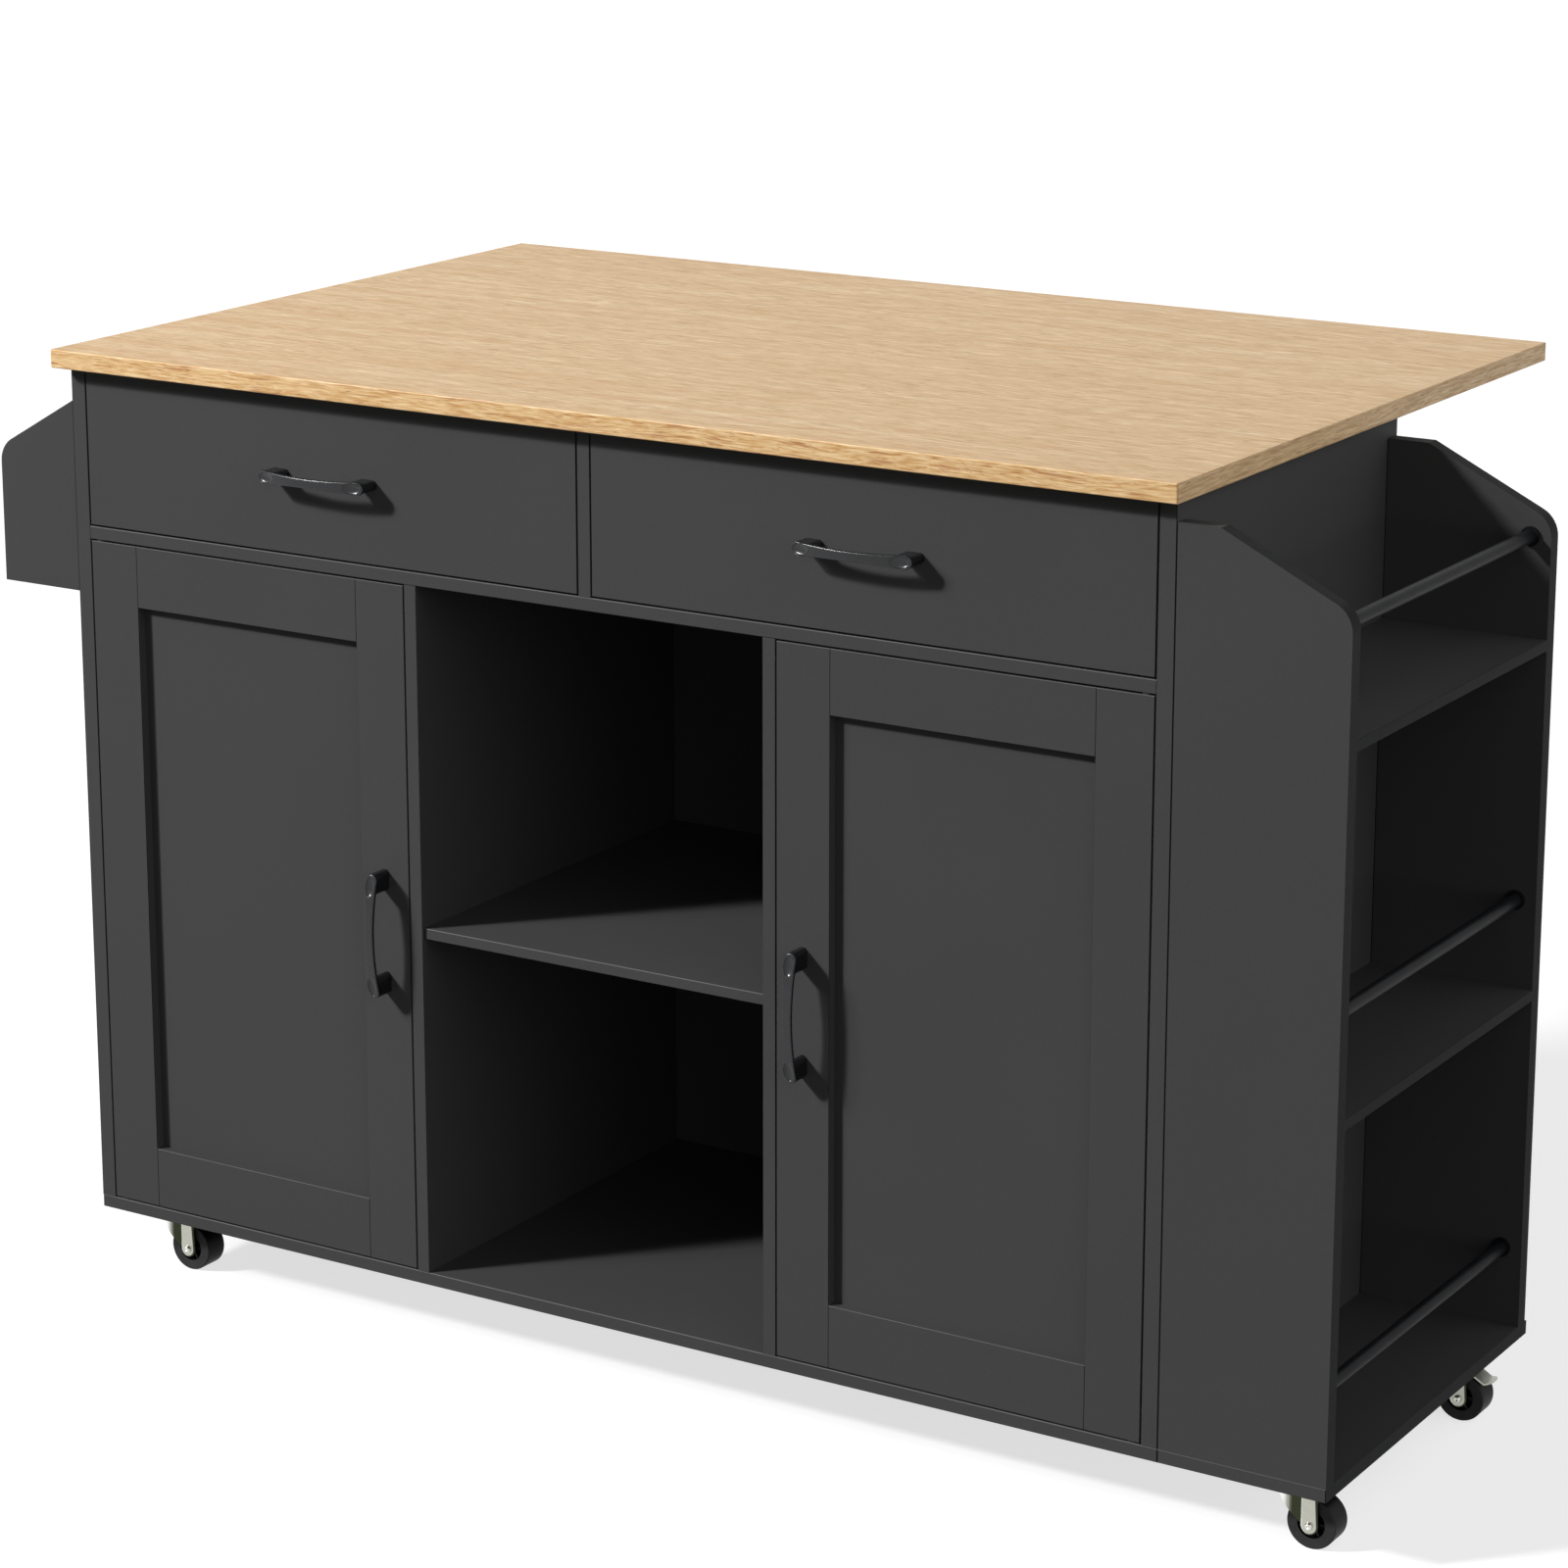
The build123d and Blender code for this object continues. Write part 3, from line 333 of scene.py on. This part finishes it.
def mouldedWheel():
    material, tree = newFinish("mouldedPolypropylene")
    coordinates = addNode(tree, "TexCoord")
    place = coordinates.outputs["Object"]
    inputs = {"Vector": place, "Scale": 1000 / wheelSkin["mottleSize"], "Detail": 3, "Roughness": 0.6}
    mottle = addNode(tree, "TexNoise", inputs=inputs).outputs["Fac"]
    drift = addNode(tree, "TexNoise", inputs={"Vector": place, "Scale": 1000 / wheelSkin["rubSize"]})
    tone = addNode(tree, "MapRange", inputs={"Value": drift.outputs["Fac"], **narrow}).outputs[0]
    facing = addNode(tree, "SeparateXYZ", inputs={0: coordinates.outputs["Normal"]})
    outward = addNode(tree, "Math", {"operation": "ABSOLUTE"}, {0: facing.outputs[1]}).outputs[0]
    onTread = addNode(tree, "MapRange", inputs={"Value": outward, **span("From", wheelSkin["treadTurn"])})
    covers = [(tone, wheelSkin["rubbed"]), (onTread.outputs[0], wheelSkin["tread"])]
    colour = layColours(tree, wheelSkin["side"], covers)
    inputs = {"Value": mottle, **wide, **span("To", wheelSkin["roughness"])}
    rough = addNode(tree, "MapRange", inputs=inputs).outputs[0]
    shader = {"Base Color": colour, "Roughness": rough, "Specular IOR Level": wheelSkin["glare"]}
    return closeFinish(material, tree, shader, mottle, wheelSkin["relief"])


# Moulded nylon bushes and catches, black: waxy and slightly uneven
waxy = {
    "black": "#161617", "shade": "#1e1e1f", "cellSize": 5,
    "roughness": 0.42, "glare": 0.4, "relief": (0.1, 0.15),
}


def nylon():
    material, tree = newFinish("mouldedNylon")
    place = addNode(tree, "TexCoord").outputs["Object"]
    inputs = {"Vector": place, "Scale": 1000 / waxy["cellSize"], "Detail": 3}
    cells = addNode(tree, "TexNoise", inputs=inputs).outputs["Fac"]
    tone = addNode(tree, "MapRange", inputs={"Value": cells, **narrow}).outputs[0]
    colour = layColours(tree, waxy["black"], [(tone, waxy["shade"])])
    shader = {"Base Color": colour, "Roughness": waxy["roughness"], "Specular IOR Level": waxy["glare"]}
    return closeFinish(material, tree, shader, cells, waxy["relief"])


finishes = {
    "oak_top": oakTop(),
    "charcoal_board": charcoalBoard(),
    "black_metal": blackCoat("satin"),
    "stamped_steel": pressedSteel(False),
    "bright_steel": brightSteel(),
    "wheel_plastic": mouldedWheel(),
    "nylon": nylon(),
}
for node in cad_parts.values():
    for materialSlot in node.material_slots:
        materialSlot.material = finishes[materialSlot.material.name]
tubeCoat = blackCoat("matt")
for name in ("rack_rails", "towel_bar"):
    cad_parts[name].material_slots[0].material = tubeCoat
forkPaintedReflections = pressedSteel(True)
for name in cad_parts:
    if name.endswith("_fork"):
        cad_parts[name].material_slots[0].material = forkPaintedReflections
print("finishes set:", len(finishes) + 2)


def addPiece(name, shape, slot, body, replaced):
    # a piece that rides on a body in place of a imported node
    mesh = bpy.data.meshes.new(name)
    shape.to_mesh(mesh)
    shape.free()
    mesh.materials.append(finishes[slot])
    piece = bpy.data.objects.new(name, mesh)
    bpy.context.scene.collection.objects.link(piece)
    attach(piece, body)
    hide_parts(replaced)
    return piece


# Strap handles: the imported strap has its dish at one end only, so that half is mirrored to the other.
# Each body is given with the way from the handle's middle to its dished end.
strapHandle = {
    "dished": {
        "left_drawer": (1, 0, 0), "right_drawer": (1, 0, 0),
        "left_door": (0, 0, -1), "right_door": (0, 0, -1),
    },
    "sharpAngle": 32, "weld": 0.000002,
}


def pairDishes(body, way):
    name = body + "_handle"
    middle = sum(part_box(name), Vector()) / 2
    shape = bmesh.new()
    shape.from_mesh(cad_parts[name].data)
    bmesh.ops.remove_doubles(shape, verts=shape.verts, dist=strapHandle["weld"])
    bmesh.ops.translate(shape, verts=shape.verts, vec=-middle)
    bmesh.ops.bisect_plane(shape, geom=shape.verts[:] + shape.edges[:] + shape.faces[:], dist=0.000001,
                           plane_co=(0, 0, 0), plane_no=way, clear_inner=True)
    bmesh.ops.mirror(shape, geom=shape.verts[:] + shape.edges[:] + shape.faces[:],
                     merge_dist=strapHandle["weld"], axis="X" if way[0] else "Z")
    bmesh.ops.recalc_face_normals(shape, faces=shape.faces)
    bmesh.ops.translate(shape, verts=shape.verts, vec=middle)
    for face in shape.faces:
        face.smooth = True
    piece = addPiece(body + "_strap", shape, "black_metal", body, name)
    piece.data.set_sharp_from_angle(angle=math.radians(strapHandle["sharpAngle"]))
    piece.modifiers.new("evenShading", "WEIGHTED_NORMAL").keep_sharp = True


for body, way in strapHandle["dished"].items():
    pairDishes(body, way)
print("handles paired")

# Wheel rivets, in millimetres: a low dome with a punched dimple at each end, and the brake pedal's pin.
# The dome is the radius and the depth below its tip, from the dimple outwards.
rivet = {
    "dome": [
        (0, 1.0), (0.7, 0.9), (1.2, 0.2), (1.7, 0), (2.3, 0.15),
        (2.9, 0.7), (3.3, 1.6), (3.5, 2.6), (3.5, 3.0),
    ],
    "shaft": 3.0, "steps": 40,
    "pin": 1.5, "pinPlace": (2.0, 0, 26.6), "pinSteps": 24,
}


def turnRivet(corner, braked):
    low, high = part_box(corner + "_axle")
    centre = sum(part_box(corner + "_wheel"), Vector()) / 2
    reach = (high.y - low.y) / 2
    half = [(radius / 1000, reach - depth / 1000) for radius, depth in rivet["dome"]]
    half.append((rivet["shaft"] / 1000, half[-1][1]))
    shape = bmesh.new()
    points = [shape.verts.new(centre + Vector((radius, y, 0))) for radius, y in half]
    points += [shape.verts.new(centre + Vector((radius, -y, 0))) for radius, y in reversed(half)]
    outline = [shape.edges.new(pair) for pair in zip(points, points[1:])]
    bmesh.ops.spin(shape, geom=points + outline, cent=centre, axis=(0, 1, 0), angle=math.tau,
                   steps=rivet["steps"], use_merge=True)
    bmesh.ops.remove_doubles(shape, verts=shape.verts, dist=0.00001)
    if braked:
        pinPlace = Matrix.Translation(centre + Vector(rivet["pinPlace"]) / 1000)
        bmesh.ops.create_cone(shape, segments=rivet["pinSteps"], radius1=rivet["pin"] / 1000,
                              radius2=rivet["pin"] / 1000, depth=2 * half[-1][1], cap_ends=True,
                              matrix=pinPlace @ Matrix.Rotation(math.pi / 2, 4, "X"))
    bmesh.ops.recalc_face_normals(shape, faces=shape.faces)
    for face in shape.faces:
        face.smooth = len(face.verts) <= 4
    addPiece(corner + "_rivet", shape, "bright_steel", corner + "_swivel", corner + "_axle")


for end, braked in (("front", False), ("rear", True)):
    for side in ("left", "right"):
        turnRivet(f"{end}_{side}", braked)
print("rivets turned")


# Studio: a pale floor, a distant lamp and a soft box from the upper left front, and a dim sky that
# brightens towards the other side
studio = {
    "floorSize": 60, "floorSeen": 0.42, "floorGlow": 0.7, "floorBounce": 0.06,
    "lampTravel": (0.584, 0.600, -0.547), "lampStrength": 3.1, "lampAngle": 5,
    "boxDistance": 4, "boxSize": 0.7, "boxPower": 70,
    "skySeen": 1.0, "skyLeft": 0.02, "skyRight": 1.5, "skyTurn": 0.1,
}


def seenDirectly(tree):  # 1 for rays from the camera, a mirror or glass, 0 for bounced light
    rays = addNode(tree, "LightPath").outputs
    larger = {"operation": "MAXIMUM"}
    seen = addNode(tree, "Math", larger, {0: rays["Is Camera Ray"], 1: rays["Is Glossy Ray"]}).outputs[0]
    return addNode(tree, "Math", larger, {0: seen, 1: rays["Is Transmission Ray"]}).outputs[0]


def layFloor():
    shape = bmesh.new()
    bmesh.ops.create_grid(shape, x_segments=1, y_segments=1, size=studio["floorSize"] / 2)
    mesh = bpy.data.meshes.new("studioFloor")
    shape.to_mesh(mesh)
    shape.free()
    floor = bpy.data.objects.new("studioFloor", mesh)
    bpy.context.scene.collection.objects.link(floor)
    material, tree = newFinish("paleFloor")
    direct = seenDirectly(tree)
    inputs = {0: direct, 2: studio["floorBounce"], 3: studio["floorSeen"]}
    shade = addNode(tree, "Mix", inputs=inputs).outputs[0]
    matt = addNode(tree, "BsdfDiffuse", inputs={"Color": shade})
    glow = addNode(tree, "Math", {"operation": "MULTIPLY"}, {0: direct, 1: studio["floorGlow"]})
    lit = addNode(tree, "Emission", inputs={"Strength": glow.outputs[0]})
    both = addNode(tree, "AddShader", inputs={0: matt.outputs[0], 1: lit.outputs[0]})
    addNode(tree, "OutputMaterial", inputs={"Surface": both.outputs[0]})
    mesh.materials.append(material)


def lightSky():
    world = bpy.data.worlds.new("studioSky")
    bpy.context.scene.world = world
    world.use_nodes = True
    tree = world.node_tree
    tree.nodes.clear()
    direction = addNode(tree, "TexCoord").outputs["Generated"]
    side = addNode(tree, "SeparateXYZ", inputs={0: direction}).outputs[0]
    limits = {"From Min": studio["skyTurn"], "To Min": studio["skyLeft"], "To Max": studio["skyRight"]}
    light = addNode(tree, "MapRange", inputs={"Value": side, **limits}).outputs[0]
    inputs = {"Value": seenDirectly(tree), "To Min": light, "To Max": studio["skySeen"]}
    strength = addNode(tree, "MapRange", inputs=inputs).outputs[0]
    sky = addNode(tree, "Background", inputs={"Color": (1, 1, 1, 1), "Strength": strength})
    addNode(tree, "OutputWorld", inputs={"Surface": sky.outputs[0]})


def hangLamp(name, kind, power, back):
    # a lamp that shines along lampTravel, standing back metres from the middle of the cart
    lamp = bpy.data.lights.new(name, kind)
    lamp.energy = power
    holder = bpy.data.objects.new(name, lamp)
    travel = Vector(studio["lampTravel"]).normalized()
    holder.location = (packedBox[0] + packedBox[1]) / 2 - travel * back
    holder.rotation_euler = travel.to_track_quat("-Z", "Y").to_euler()
    bpy.context.scene.collection.objects.link(holder)
    return lamp


layFloor()
lightSky()
hangLamp("distantLamp", "SUN", studio["lampStrength"], 0).angle = math.radians(studio["lampAngle"])
hangLamp("softBox", "AREA", studio["boxPower"], studio["boxDistance"]).size = studio["boxSize"]
bpy.context.scene.view_settings.view_transform = "Standard"
print("studio set")

# Camera: from the right of the front, a little above the top, through a long lens
camera = {
    "stand": (2.0566, -3.4171, 1.5975), "turn": 31.626, "tilt": 13.984,
    "lens": 102.69, "sensor": 36, "rise": -0.08,
}


def setCamera():
    data = bpy.data.cameras.new("camera")
    data.lens = camera["lens"]
    data.shift_y = camera["rise"]
    data.sensor_width = camera["sensor"]
    holder = bpy.data.objects.new("camera", data)
    holder.location = camera["stand"]
    holder.rotation_euler = Euler((math.radians(90 - camera["tilt"]), 0, math.radians(camera["turn"])))
    bpy.context.scene.collection.objects.link(holder)
    bpy.context.scene.camera = holder


setCamera()
bpy.context.view_layer.update()
